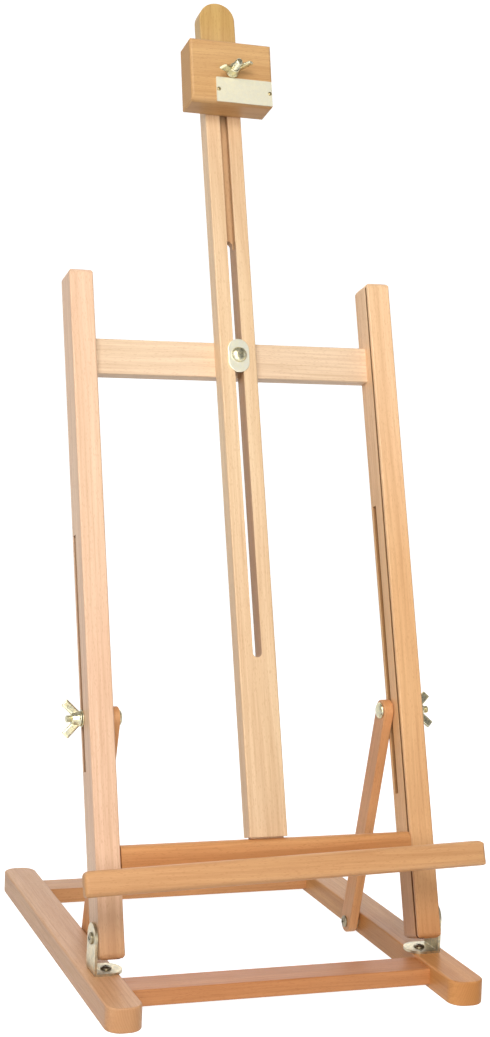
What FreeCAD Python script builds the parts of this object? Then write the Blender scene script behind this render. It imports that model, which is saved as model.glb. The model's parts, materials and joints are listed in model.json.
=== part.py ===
import FreeCAD, Part
import math
import os

os.makedirs("parts", exist_ok=True)
V = FreeCAD.Vector

# ---------------------------------------------------------------- driving dimensions (mm)
# base
FOOT_LEN = 367.0
FOOT_W = 28.5
FOOT_H = 19.0
FOOT_IN = 123.0            # inner face of a foot, from the centre plane
FOOT_OUT = FOOT_IN + FOOT_W
FRONT_Y = -FOOT_LEN / 2.0
Y0 = FRONT_Y + 2.5         # the rails and the frame are laid out from here
REAR_Y = FOOT_LEN / 2.0
RAIL_W = 30.0              # cross rails and crossbar are one stock, 30 x 13
RAIL_T = 13.0
RAIL_Z0 = 3.0
FRONT_RAIL_Y = Y0 + 39.7
REAR_RAIL_Y = Y0 + 301.3
DOWEL_R = 3.0

# leaning frame: local axes are x, back (away from the artist) and up along the posts
LEAN = 16.7                # degrees back from vertical
PLANE_Y = Y0 + 48.6        # where the posts' front plane meets the table
POST_IN = 121.7
POST_W = 20.0
POST_OUT = POST_IN + POST_W
POST_D = 28.0
POST_S0 = 35.5
POST_S1 = 585.5
GROOVE_B0, GROOVE_B1 = 2.8, 5.9
GROOVE_DEPTH = 6.0
SLOT_B = 21.0              # bolt slot centre, back from the front plane
SLOT_HALF = 3.3
CUT_R = 35.0               # the slot is plunge-cut from the inner face with a round cutter
CUT_OFF = 14.6             # cutter centre, outside the inner face
SLOT_LO, SLOT_HI = 183.3, 361.2
CROSS_S0 = 500.5
CROSS_B0 = 15.1

# hinge
HINGE_B, HINGE_S = 14.0, 52.0
PLATE_T = 2.0
LEAF_R = 12.5
PLATE_X0 = POST_OUT + 0.3
PLATE_X1 = PLATE_X0 + PLATE_T

# stays
STAY_X0, STAY_X1 = 113.0, 121.0
STAY_R = 9.0
BOLT_S = 220.0             # stay bolt, up the post, in the pose shown
STAY_Y, STAY_Z = Y0 + 185.5, 9.5
M6_R = 3.0
NUT_BORE_R = 3.05

# carriage
MAST_HALF = 15.9
MAST_B0, MAST_B1 = -0.5, 15.0
MAST_S0, MAST_S1 = 121.5, 832.0
TENON_HALF = 13.9
MSLOT_HALF = 3.85
MSLOT_S0, MSLOT_S1 = 263.4, 618.0
TEE_S1 = 772.0
CRAIL_X = 121.2
CRAIL_B0, CRAIL_B1 = -0.6, 11.4
CRAIL_S0, CRAIL_S1 = 89.5, 120.5
LEDGE_T = 9.0
LEDGE_X = 120.5
LIP_B0, LIP_B1 = -47.8, -38.2
LIP_S0, LIP_S1 = 86.8, 106.2
LIP_X = 163.0
LIP_TURN = -1.42           # the lip is fixed slightly crooked on the ledge, right end up
MBOLT_S = 515.5

# clamp
BLK_X = 36.2
BLK_B0, BLK_B1 = -27.4, -0.6
BLK_S0, BLK_S1 = 727.0, 783.2
BLK_TURN = 1.16            # the block has been nipped up slightly crooked, right side down
CBOLT_S = 755.5
PLATE_CX, PLATE_CS = 10.4, 738.6
NAME_W, NAME_H, NAME_T = 49.5, 22.0, 0.8


# ---------------------------------------------------------------- helpers
def tilt(shape):
    """From the leaning frame's local axes to the row's."""
    s = shape.copy()
    s.rotate(V(0, 0, 0), V(1, 0, 0), -LEAN)
    s.translate(V(0, PLANE_Y, 0))
    return s


def rect_wire(u0, u1, v0, v1, r, place):
    """Rounded rectangle; r is one radius or four (u0v0, u1v0, u1v1, u0v1)."""
    rr = list(r) if isinstance(r, (list, tuple)) else [r] * 4
    pts = [(u0, v0, 1, 1), (u1, v0, -1, 1), (u1, v1, -1, -1), (u0, v1, 1, -1)]
    segs = []
    corners = []
    for i, (u, v, su, sv) in enumerate(pts):
        q = max(rr[i], 0.0)
        if i in (0, 2):
            a = (u, v + sv * q)
            b = (u + su * q, v)
        else:
            a = (u + su * q, v)
            b = (u, v + sv * q)
        k = 1 - math.sqrt(0.5)
        m = (u + su * q * k, v + sv * q * k)
        corners.append((a, m, b, q))
    for i in range(4):
        a, m, b, q = corners[i]
        if q > 1e-6:
            segs.append(Part.Arc(place(*a), place(*m), place(*b)).toShape())
        nxt = corners[(i + 1) % 4][0]
        if math.hypot(nxt[0] - b[0], nxt[1] - b[1]) > 1e-6:
            segs.append(Part.makeLine(place(*b), place(*nxt)))
    return Part.Wire(segs)


def ext(wire, vec):
    return Part.Face(wire).extrude(vec)


def bar(x0, x1, y0, y1, z0, z1, rz=0.0, ry=0.0, rx=0.0):
    """Box with rounded edges: rz on the edges along z, ry on those along y, rx on those along x."""
    parts = []
    if rz or not (ry or rx):
        parts.append(ext(rect_wire(x0, x1, y0, y1, rz, lambda a, b: V(a, b, z0)), V(0, 0, z1 - z0)))
    if ry:
        parts.append(ext(rect_wire(x0, x1, z0, z1, ry, lambda a, b: V(a, y0, b)), V(0, y1 - y0, 0)))
    if rx:
        parts.append(ext(rect_wire(y0, y1, z0, z1, rx, lambda a, b: V(x0, a, b)), V(x1 - x0, 0, 0)))
    s = parts[0]
    for p in parts[1:]:
        s = s.common(p)
    return s.Solids[0]


def cyl(p, d, r, h):
    return Part.makeCylinder(r, h, V(*p), V(*d))


def mirror_x(s):
    return s.mirror(V(0, 0, 0), V(1, 0, 0))


def save(name, shape):
    solids = shape.Solids
    assert solids, name
    for q in solids:
        assert q.isValid(), name
    out = solids[0] if len(solids) == 1 else Part.makeCompound(solids)
    out.exportStep("parts/%s.step" % name)


def revolve_profile(pts, origin, direction):
    """Solid of revolution from (radius, height) points, height along direction."""
    ps = [V(r, 0, h) for r, h in pts]
    w = Part.makePolygon(ps + [ps[0]])
    s = Part.Face(w).revolve(V(0, 0, 0), V(0, 0, 1), 360)
    rot = FreeCAD.Rotation(V(0, 0, 1), V(*direction))
    s.Placement = FreeCAD.Placement(V(*origin), rot)
    return s


def dome_profile(r, h, base=0.0, n=7, rim=0.5):
    """Low dome with a short straight rim, as (radius, height) points from the outside in."""
    out = [(r, base), (r, base + rim)]
    for i in range(1, n + 1):
        a = math.pi / 2 * i / n
        out.append((r * math.cos(a), base + rim + (h - rim) * math.sin(a)))
    out[-1] = (0.0, base + h)
    return out


def phillips(depth, span, width):
    """Cross recess cutter about the z axis, mouth at z = 0, pointing down."""
    s = None
    for k in range(2):
        b = Part.makeBox(span, width, depth, V(-span / 2, -width / 2, -depth))
        b.rotate(V(0, 0, 0), V(0, 0, 1), 90 * k)
        s = b if s is None else s.fuse(b)
    c = Part.makeCone(width * 0.55, width * 0.95, depth, V(0, 0, -depth), V(0, 0, 1))
    return s.fuse(c)


def place_to(shape, origin, direction, spin=0.0):
    s = shape.copy()
    if spin:
        s.rotate(V(0, 0, 0), V(0, 0, 1), spin)
    rot = FreeCAD.Rotation(V(0, 0, 1), V(*direction))
    s.Placement = FreeCAD.Placement(V(*origin), rot).multiply(s.Placement)
    return s


def pan_screw(head_r, head_h, shank_r, length, tip=4.0, spin=0.0):
    """Pan-head cross-recess screw: underside of the head at z = 0, shank down."""
    prof = [(0.0, -length), (shank_r * 0.25, -length), (shank_r, -length + tip), (shank_r, 0.0)]
    prof += dome_profile(head_r, head_h, 0.0, 6, head_h * 0.35)
    ps = [V(r, 0, h) for r, h in prof]
    w = Part.makePolygon(ps + [ps[0]])
    s = Part.Face(w).revolve(V(0, 0, 0), V(0, 0, 1), 360)
    c = phillips(head_h * 0.8, head_r * 1.15, 1.1)
    c.translate(V(0, 0, head_h + 0.05))
    c.rotate(V(0, 0, 0), V(0, 0, 1), spin)
    return s.cut(c).Solids[0]


def flat_screw(head_r, head_h, shank_r, length, tip=4.0, spin=0.0):
    """Countersunk cross-recess screw: top of the head at z = 0, shank down."""
    prof = [(0.0, -length), (shank_r * 0.25, -length), (shank_r, -length + tip), (shank_r, -head_h),
            (head_r, -0.5), (head_r, 0.0), (0.0, 0.0)]
    ps = [V(r, 0, h) for r, h in prof]
    w = Part.makePolygon(ps + [ps[0]])
    s = Part.Face(w).revolve(V(0, 0, 0), V(0, 0, 1), 360)
    c = phillips(head_h * 0.7, head_r * 1.1, 1.0)
    c.translate(V(0, 0, 0.05))
    c.rotate(V(0, 0, 0), V(0, 0, 1), spin)
    return s.cut(c).Solids[0]


def wing_nut(spin=0.0):
    """M6 wing nut, base at z = 0, axis +z, ears along x."""
    hub = revolve_profile([(0.0, 0.0), (5.7, 0.0), (6.0, 0.4), (5.9, 1.4), (5.0, 6.6), (4.6, 7.6), (4.2, 8.0), (0.0, 8.0)],
                          (0, 0, 0), (0, 0, 1))
    ears = []
    for sgn in (-1, 1):
        # slanted paddle in the xz plane, with a soft-cornered square end
        cx0, cz0, cx1, cz1, hw, rc = 3.5, 3.1, 12.5, 12.7, 2.8, 1.3
        dx, dz = cx1 - cx0, cz1 - cz0
        l = math.hypot(dx, dz)
        ux, uz = dx / l, dz / l
        nx, nz = -uz, ux

        def q(along, across):
            return V(sgn * (cx0 + ux * along + nx * across), 0, cz0 + uz * along + nz * across)

        k = rc * (1 - math.sqrt(0.5))
        w = Part.Wire([Part.makeLine(q(0, hw), q(l - rc, hw)),
                       Part.Arc(q(l - rc, hw), q(l - k, hw - k), q(l, hw - rc)).toShape(),
                       Part.makeLine(q(l, hw - rc), q(l, -hw + rc)),
                       Part.Arc(q(l, -hw + rc), q(l - k, -hw + k), q(l - rc, -hw)).toShape(),
                       Part.makeLine(q(l - rc, -hw), q(0, -hw)),
                       Part.makeLine(q(0, -hw), q(0, hw))])
        e = Part.Face(w).extrude(V(0, 2.2, 0))
        e.translate(V(0, -1.1, 0))
        ears.append(e)
    s = hub.fuse(ears).removeSplitter()
    s = s.cut(Part.makeCylinder(NUT_BORE_R, 20, V(0, 0, -2)))
    try:
        edges = [e for e in s.Edges if abs(abs(e.CenterOfMass.y) - 1.1) < 1e-3 and e.Length > 2.5
                 and math.hypot(e.CenterOfMass.x, 0) > 6.5]
        t = s.makeFillet(0.6, edges)
        if t.isValid() and t.Solids:
            s = t
    except Exception:
        pass
    s = s.Solids[0]
    if spin:
        s.rotate(V(0, 0, 0), V(0, 0, 1), spin)
    return s


def washer(r_out, r_in, t):
    s = Part.makeCylinder(r_out, t).cut(Part.makeCylinder(r_in, t + 2, V(0, 0, -1)))
    try:
        edges = [e for e in s.Edges if abs(e.BoundBox.XLength - 2 * r_out) < 0.01]
        s2 = s.makeFillet(min(0.3, t * 0.3), edges)
        if s2.isValid():
            s = s2
    except Exception:
        pass
    return s.Solids[0]


# local directions inside the leaning frame
FWD = (0, -1, 0)
BACK = (0, 1, 0)

# hinge axis and stay pivots in the row frame
_c, _s = math.cos(math.radians(LEAN)), math.sin(math.radians(LEAN))
HINGE_Y = PLANE_Y + _s * HINGE_S + _c * HINGE_B
HINGE_Z = _c * HINGE_S - _s * HINGE_B
BOLT_Y = PLANE_Y + _s * BOLT_S + _c * SLOT_B
BOLT_Z = _c * BOLT_S - _s * SLOT_B

# ---------------------------------------------------------------- base
foot = ext(rect_wire(FOOT_IN, FOOT_OUT, FRONT_Y, REAR_Y, 12.0, lambda a, b: V(a, b, 0)), V(0, 0, FOOT_H))
foot = foot.makeFillet(1.5, [e for e in foot.Edges if e.BoundBox.ZLength < 1e-4])
assert foot.isValid()
dowels = []
for ry0 in (FRONT_RAIL_Y, REAR_RAIL_Y):
    for off in (7.5, 22.5):
        y, z = ry0 + off, RAIL_Z0 + RAIL_T / 2.0
        foot = foot.cut(cyl((FOOT_IN - 1, y, z), (1, 0, 0), DOWEL_R + 0.05, 15.5))
        d = cyl((FOOT_IN - 14, y, z), (1, 0, 0), DOWEL_R, 28.0)
        d = d.makeChamfer(0.6, d.Edges)
        dowels.append(d)
foot = foot.cut(cyl((PLATE_X1 - LEAF_R, HINGE_Y + 1.2, FOOT_H - 13.5), (0, 0, 1), 1.8, 14.5))
foot = foot.cut(cyl((FOOT_IN - 1, STAY_Y, STAY_Z), (1, 0, 0), 2.55, 17.0))
save("right_foot", foot)
save("left_foot", mirror_x(foot))
save("rail_dowels", Part.makeCompound([d for d in dowels] + [mirror_x(d) for d in dowels]))


def cross_rail(y0):
    r = bar(-FOOT_IN, FOOT_IN, y0, y0 + RAIL_W, RAIL_Z0, RAIL_Z0 + RAIL_T, rx=1.3)
    for off in (7.5, 22.5):
        z = RAIL_Z0 + RAIL_T / 2.0
        for sx in (-1, 1):
            r = r.cut(cyl((sx * (FOOT_IN + 1), y0 + off, z), (-sx, 0, 0), DOWEL_R + 0.05, 15.5))
    return r


save("front_cross_rail", cross_rail(FRONT_RAIL_Y))
save("rear_cross_rail", cross_rail(REAR_RAIL_Y))

# folded hinge bracket: an upright leaf outside the post and a flange on the foot, under the post
FL_Y = HINGE_Y + 1.2       # middle of the flange and of the leaf's foot
TOP_R = 11.8
yf, yb = FL_Y - LEAF_R, FL_Y + LEAF_R
leaf = ext(Part.Wire([Part.makeLine(V(PLATE_X0, yf, FOOT_H), V(PLATE_X0, HINGE_Y - TOP_R, HINGE_Z)),
                      Part.Arc(V(PLATE_X0, HINGE_Y - TOP_R, HINGE_Z), V(PLATE_X0, HINGE_Y, HINGE_Z + TOP_R),
                               V(PLATE_X0, HINGE_Y + TOP_R, HINGE_Z)).toShape(),
                      Part.makeLine(V(PLATE_X0, HINGE_Y + TOP_R, HINGE_Z), V(PLATE_X0, yb, FOOT_H)),
                      Part.makeLine(V(PLATE_X0, yb, FOOT_H), V(PLATE_X0, yf, FOOT_H))]), V(PLATE_T, 0, 0))
fl_x = PLATE_X1 - LEAF_R
flange = Part.makeBox(PLATE_X1 - fl_x, 2 * LEAF_R, PLATE_T, V(fl_x, FL_Y - LEAF_R, FOOT_H))
flange = flange.fuse(cyl((fl_x, FL_Y, FOOT_H), (0, 0, 1), LEAF_R, PLATE_T))
bracket = leaf.fuse(flange).removeSplitter()
bend_out = [e for e in bracket.Edges if abs(e.CenterOfMass.x - PLATE_X1) < 1e-3 and abs(e.CenterOfMass.z - FOOT_H) < 1e-3
            and e.Length > 10]
bend_in = [e for e in bracket.Edges if abs(e.CenterOfMass.x - PLATE_X0) < 1e-3
           and abs(e.CenterOfMass.z - FOOT_H - PLATE_T) < 1e-3 and e.Length > 10]
bracket = bracket.makeFillet(1.7, bend_out) if bend_out else bracket
bend_in = [e for e in bracket.Edges if abs(e.CenterOfMass.x - PLATE_X0) < 1e-3
           and abs(e.CenterOfMass.z - FOOT_H - PLATE_T) < 1e-3 and e.Length > 10]
bracket = bracket.makeFillet(0.5, bend_in) if bend_in else bracket
bracket = bracket.cut(cyl((PLATE_X0 - 2, HINGE_Y, HINGE_Z), (1, 0, 0), 2.55, 8))
bracket = bracket.cut(cyl((fl_x, FL_Y, FOOT_H - 2), (0, 0, 1), 2.1, 8))
save("right_hinge_bracket", bracket)
save("left_hinge_bracket", mirror_x(bracket))

bs = place_to(pan_screw(4.4, 2.0, 1.75, 14.0, spin=38), (fl_x, FL_Y, FOOT_H + PLATE_T), (0, 0, 1))
bs2 = place_to(pan_screw(4.4, 2.0, 1.75, 14.0, spin=12), (-fl_x, FL_Y, FOOT_H + PLATE_T), (0, 0, 1))
save("bracket_screws", Part.makeCompound([bs, bs2]))

# screws on which the stays turn, with the spacer washers between stay and foot
ss = place_to(pan_screw(4.9, 2.4, 2.5, 25.6, spin=20), (STAY_X0 - 0.1, STAY_Y, STAY_Z), (-1, 0, 0))
ss2 = place_to(pan_screw(4.9, 2.4, 2.5, 25.6, spin=55), (-(STAY_X0 - 0.1), STAY_Y, STAY_Z), (1, 0, 0))
save("stay_foot_screws", Part.makeCompound([ss, ss2]))
w1 = place_to(washer(6.5, 2.6, FOOT_IN - STAY_X1 - 0.1), (STAY_X1 + 0.1, STAY_Y, STAY_Z), (1, 0, 0))
save("stay_spacer_washers", Part.makeCompound([w1, mirror_x(w1)]))

# ---------------------------------------------------------------- leaning frame
post = bar(POST_IN, POST_OUT, 0, POST_D, POST_S0, POST_S1, rz=1.2, ry=4.2, rx=(5.6, 4.6, 8.0, 6.0))
post = post.cut(Part.makeBox(GROOVE_DEPTH + 1, GROOVE_B1 - GROOVE_B0, 600,
                             V(POST_IN - 1, GROOVE_B0, POST_S0 - 10)))
cx = POST_IN - CUT_OFF
tool = cyl((cx, SLOT_B - SLOT_HALF, SLOT_LO), BACK, CUT_R, 2 * SLOT_HALF)
tool = tool.fuse(cyl((cx, SLOT_B - SLOT_HALF, SLOT_HI), BACK, CUT_R, 2 * SLOT_HALF))
tool = tool.fuse(Part.makeBox(CUT_R, 2 * SLOT_HALF, SLOT_HI - SLOT_LO, V(cx, SLOT_B - SLOT_HALF, SLOT_LO)))
post = post.cut(tool)
post = post.cut(cyl((POST_OUT + 1, HINGE_B, HINGE_S), (-1, 0, 0), 2.55, 17.5))
CD_B = CROSS_B0 + 6.45
for sd in (CROSS_S0 + 8.0, CROSS_S0 + RAIL_W - 7.0):
    post = post.cut(cyl((POST_IN - 1, CD_B, sd), (1, 0, 0), DOWEL_R + 0.05, 13.5))
post = post.Solids[0]
save("right_post", tilt(post))
save("left_post", tilt(mirror_x(post)))

cross = bar(-POST_IN, POST_IN, CROSS_B0, POST_D, CROSS_S0, CROSS_S0 + RAIL_W, rx=1.2)
cdw = []
for sd in (CROSS_S0 + 8.0, CROSS_S0 + RAIL_W - 7.0):
    for sx in (-1, 1):
        cross = cross.cut(cyl((sx * (POST_IN + 1), CD_B, sd), (-sx, 0, 0), DOWEL_R + 0.05, 13.5))
        d = cyl((sx * (POST_IN - 12), CD_B, sd), (sx, 0, 0), DOWEL_R, 24.0)
        cdw.append(d.makeChamfer(0.6, d.Edges))
cross = cross.cut(cyl((0, CROSS_B0 - 2, MBOLT_S), BACK, M6_R + 0.2, 20))
save("top_crossbar", tilt(cross))
save("crossbar_dowels", tilt(Part.makeCompound(cdw)))

pv = place_to(pan_screw(4.6, 2.3, 2.5, 17.8, spin=25), (PLATE_X1 + 0.1, HINGE_B, HINGE_S), (1, 0, 0))
pv2 = place_to(pan_screw(4.6, 2.3, 2.5, 17.8, spin=70), (-(PLATE_X1 + 0.1), HINGE_B, HINGE_S), (-1, 0, 0))
save("right_pivot_screw", tilt(pv))
save("left_pivot_screw", tilt(pv2))

# lock that holds the mast against the crossbar: oval plate and round head in front, wing nut behind
plate = Part.makeBox(18.4, 1.2, 10.1, V(-9.2, MAST_B0 - 1.3, MBOLT_S - 5.05 - 0.5))
plate = plate.fuse([cyl((0, MAST_B0 - 1.3, MBOLT_S - 5.05 - 0.5), BACK, 9.2, 1.2),
                    cyl((0, MAST_B0 - 1.3, MBOLT_S + 5.05 - 0.5), BACK, 9.2, 1.2)]).removeSplitter()
try:
    fe = [e for e in plate.Edges if abs(e.CenterOfMass.y - (MAST_B0 - 1.3)) < 1e-3]
    p2 = plate.makeFillet(0.5, fe)
    if p2.isValid():
        plate = p2
except Exception:
    pass
plate = plate.cut(cyl((0, MAST_B0 - 4, MBOLT_S), BACK, M6_R + 0.1, 8))
save("mast_lock_plate", tilt(plate))
MB_FRONT = MAST_B0 - 1.3
MB_END = POST_D + 15.0
mb = [(0.0, -(MB_END - MB_FRONT)), (2.4, -(MB_END - MB_FRONT)), (M6_R, -(MB_END - MB_FRONT) + 0.7), (M6_R, 0.0)]
mb += dome_profile(6.5, 3.4, 0.0, 7, 0.5)
mbolt = revolve_profile(mb, (0, MB_FRONT, MBOLT_S), FWD)
save("mast_lock_bolt", tilt(mbolt))
save("mast_lock_washer", tilt(place_to(washer(6.5, 3.2, 1.2), (0, POST_D, MBOLT_S), BACK)))
save("mast_lock_nut", tilt(place_to(wing_nut(), (0, POST_D + 1.3, MBOLT_S), BACK, spin=8)))

# ---------------------------------------------------------------- stays and their locks
dy, dz = BOLT_Y - STAY_Y, BOLT_Z - STAY_Z
STAY_L = math.hypot(dy, dz)
st = Part.makeBox(STAY_X1 - STAY_X0, 2 * STAY_R, STAY_L, V(STAY_X0, -STAY_R, 0))
st = st.fuse([cyl((STAY_X0, 0, 0), (1, 0, 0), STAY_R, STAY_X1 - STAY_X0),
              cyl((STAY_X0, 0, STAY_L), (1, 0, 0), STAY_R, STAY_X1 - STAY_X0)]).removeSplitter()
try:
    fe = [e for e in st.Edges if abs(e.BoundBox.XLength) < 1e-4]
    s2 = st.makeFillet(0.9, fe)
    if s2.isValid():
        st = s2
except Exception:
    pass
st = st.cut(cyl((STAY_X0 - 2, 0, 0), (1, 0, 0), 2.55, 14))
st = st.cut(cyl((STAY_X0 - 2, 0, STAY_L), (1, 0, 0), M6_R + 0.1, 14)).Solids[0]
st.rotate(V(0, 0, 0), V(1, 0, 0), math.degrees(math.atan2(-dy, dz)))
st.translate(V(0, STAY_Y, STAY_Z))
save("right_stay", st)
save("left_stay", mirror_x(st))

# head and neck of the stay bolt stay with the stay; the linkage is opened at its outer face
OPEN_A, OPEN_B = STAY_X1 + 0.2, STAY_X1 + 0.4
hb = [(0.0, -(OPEN_A - STAY_X0)), (M6_R, -(OPEN_A - STAY_X0)), (M6_R, 0.0)] + dome_profile(6.75, 3.2, 0.0, 7, 0.5)
head = revolve_profile(hb, (STAY_X0, BOLT_Y, BOLT_Z), (-1, 0, 0))
save("right_stay_bolt_head", head)
save("left_stay_bolt_head", mirror_x(head))
BOLT_END = 155.3
be = [(0.0, 0.0), (M6_R, 0.0), (M6_R, BOLT_END - OPEN_B - 0.7), (2.4, BOLT_END - OPEN_B), (0.0, BOLT_END - OPEN_B)]
end = revolve_profile(be, (OPEN_B, BOLT_Y, BOLT_Z), (1, 0, 0))
save("right_stay_bolt_end", end)
save("left_stay_bolt_end", mirror_x(end))
lw = place_to(washer(6.8, M6_R + 0.1, 1.2), (POST_OUT + 0.1, BOLT_Y, BOLT_Z), (1, 0, 0))
save("right_lock_washer", lw)
save("left_lock_washer", mirror_x(lw))


def side_nut(side, spin):
    n = wing_nut()
    # ears along the posts
    n.rotate(V(0, 0, 0), V(0, 0, 1), spin)
    rot = FreeCAD.Rotation(V(0, 0, 1), V(side, 0, 0))
    n.Placement = FreeCAD.Placement(V(side * (POST_OUT + 1.4), BOLT_Y, BOLT_Z), rot).multiply(n.Placement)
    return n


save("right_wing_nut", side_nut(1, -28))
save("left_wing_nut", side_nut(-1, 15))

# ---------------------------------------------------------------- carriage
mast = ext(rect_wire(-MAST_HALF, MAST_HALF, MAST_S0, MAST_S1, (0.0, 0.0, MAST_HALF - 0.3, MAST_HALF - 0.3),
                     lambda a, b: V(a, MAST_B0, b)), V(0, MAST_B1 - MAST_B0, 0))
# soft rims up both sides and over the round top
mast = mast.makeFillet(1.3, [e for e in mast.Edges if e.BoundBox.YLength < 1e-4 and e.CenterOfMass.z > MAST_S0 + 1])
assert mast.isValid()
slot = Part.makeBox(2 * MSLOT_HALF, 30, MSLOT_S1 - MSLOT_S0 - 2 * MSLOT_HALF,
                    V(-MSLOT_HALF, MAST_B0 - 5, MSLOT_S0 + MSLOT_HALF))
slot = slot.fuse([cyl((0, MAST_B0 - 5, MSLOT_S0 + MSLOT_HALF), BACK, MSLOT_HALF, 30),
                  cyl((0, MAST_B0 - 5, MSLOT_S1 - MSLOT_HALF), BACK, MSLOT_HALF, 30)])
mast = mast.cut(slot)
# tee groove above the through slot, for the clamp bolt's head
TEE_HALF, TEE_IN = 3.6, 7.1
mast = mast.cut(Part.makeBox(2 * TEE_HALF, 8.6, TEE_S1 - 606.0 - TEE_HALF, V(-TEE_HALF, MAST_B0 - 1, 606.0)))
mast = mast.cut(cyl((0, MAST_B0 - 1, TEE_S1 - TEE_HALF), BACK, TEE_HALF, 8.6))
mast = mast.cut(Part.makeBox(2 * TEE_IN, 4.6, TEE_S1 - 610.0, V(-TEE_IN, 3.5, 610.0)))
mast = mast.Solids[0]
tenon = Part.makeBox(2 * TENON_HALF, 5.5, MAST_S0 - 99.0 + 1.0, V(-TENON_HALF, 4.0, 99.0))
mast = mast.fuse(tenon).removeSplitter()
save("mast", tilt(mast))

crail = ext(rect_wire(CRAIL_B0, CRAIL_B1, CRAIL_S0, CRAIL_S1, (1.2, 1.2, 1.6, 6.0), lambda a, b: V(-CRAIL_X, a, b)),
            V(2 * CRAIL_X, 0, 0))
tongue = Part.makeBox(2 * (CRAIL_X + 6.0), 2.8, CRAIL_S1 - CRAIL_S0 - 1.0, V(-CRAIL_X - 6.0, 2.95, CRAIL_S0 + 0.5))
crail = crail.fuse(tongue).removeSplitter()
crail = crail.cut(Part.makeBox(29.4, 5.7, 40, V(-14.7, 3.9, 98.5)))
LS = CRAIL_S0 + LEDGE_T / 2.0
lscrews = []
ledge = bar(-LEDGE_X, LEDGE_X, LIP_B1, CRAIL_B0, CRAIL_S0, CRAIL_S0 + LEDGE_T, rz=0.0, rx=0.6)
for xs in (-84.0, 0.0, 84.0):
    crail = crail.cut(cyl((xs, CRAIL_B1 + 1, LS), FWD, 1.8, 20))
    crail = crail.cut(Part.makeCone(1.8, 4.6, 3.0, V(xs, CRAIL_B1 - 2.9, LS), V(0, 1, 0)))
    ledge = ledge.cut(cyl((xs, CRAIL_B0 + 1, LS), FWD, 1.8, 19.0))
    lscrews.append(place_to(flat_screw(3.9, 2.5, 1.7, 29.0, spin=xs), (xs, CRAIL_B1 - 0.1, LS), BACK))
ldowels = []
lip = ext(rect_wire(LIP_B0, LIP_B1, LIP_S0, LIP_S1, (5.0, 1.0, 1.4, 5.8), lambda a, b: V(-LIP_X, a, b)),
          V(2 * LIP_X, 0, 0))
lip = lip.common(ext(rect_wire(-LIP_X, LIP_X, LIP_B0, LIP_B1, (3.2, 3.2, 1.2, 1.2), lambda a, b: V(a, b, LIP_S0)),
                     V(0, 0, LIP_S1 - LIP_S0)))
lip = lip.common(ext(rect_wire(-LIP_X, LIP_X, LIP_S0, LIP_S1, (2.6, 2.6, 5.0, 5.0), lambda a, b: V(a, LIP_B0, b)),
                     V(0, LIP_B1 - LIP_B0, 0)))
lip.rotate(V(0, 0, (LIP_S0 + LIP_S1) / 2.0), V(0, 1, 0), LIP_TURN)
for xs in (-96.0, 0.0, 96.0):
    ledge = ledge.cut(cyl((xs, LIP_B1 - 1, LS), BACK, 2.55, 12.5))
    lip = lip.cut(cyl((xs, LIP_B1 + 1, LS), FWD, 2.55, 7.5))
    d = cyl((xs, LIP_B1 - 6.0, LS), BACK, 2.5, 17.0)
    ldowels.append(d.makeChamfer(0.5, d.Edges))
save("carriage_rail", tilt(crail.Solids[0]))
save("ledge_board", tilt(ledge.Solids[0]))
save("tray_lip", tilt(lip.Solids[0]))
save("ledge_screws", tilt(Part.makeCompound(lscrews)))
save("lip_dowels", tilt(Part.makeCompound(ldowels)))

# ---------------------------------------------------------------- top clamp
blk = ext(rect_wire(BLK_B0, BLK_B1, BLK_S0, BLK_S1, (5.5, 1.6, 1.6, 2.2), lambda a, b: V(-BLK_X, a, b)),
          V(2 * BLK_X, 0, 0))
blk = blk.common(ext(rect_wire(-BLK_X, BLK_X, BLK_B0, BLK_B1, (2.4, 2.4, 1.6, 1.6), lambda a, b: V(a, b, BLK_S0)),
                     V(0, 0, BLK_S1 - BLK_S0)))
blk = blk.common(ext(rect_wire(-BLK_X, BLK_X, BLK_S0, BLK_S1, 1.8, lambda a, b: V(a, BLK_B0, b)),
                     V(0, BLK_B1 - BLK_B0, 0)))
blk = blk.cut(cyl((0, BLK_B0 - 2, CBOLT_S), BACK, M6_R + 0.15, 40))
pins = []
for px in (PLATE_CX - NAME_W / 2 + 2.0, PLATE_CX + NAME_W / 2 - 2.0):
    blk = blk.cut(cyl((px, BLK_B0 - 1, PLATE_CS), BACK, 0.85, 8.0))
blk = blk.Solids[0]


def turned(shape, angle, s_mid):
    """Turned in the leaning plane about the middle of the easel; positive drops the right side."""
    q = shape.copy()
    q.rotate(V(0, 0, s_mid), V(0, 1, 0), angle)
    return q


save("clamp_block", tilt(turned(blk, BLK_TURN, CBOLT_S)))

cb = [(0.0, 0.0), (M6_R, 0.0), (M6_R, 3.8 + 47.5 - 0.7), (2.4, 3.8 + 47.5), (0.0, 3.8 + 47.5)]
cbolt = revolve_profile(cb, (0, 3.8, CBOLT_S), FWD)
hammer = bar(-6.5, 6.5, 3.8, 7.8, CBOLT_S - 3.3, CBOLT_S + 3.3, rx=0.5)
cbolt = cbolt.fuse(hammer).removeSplitter()
save("clamp_bolt", tilt(cbolt))
save("clamp_washer", tilt(place_to(washer(5.5, M6_R + 0.1, 1.1), (0, BLK_B0, CBOLT_S), FWD)))
save("clamp_wing_nut", tilt(place_to(wing_nut(), (0, BLK_B0 - 1.25, CBOLT_S), FWD, spin=8).copy()))

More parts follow.
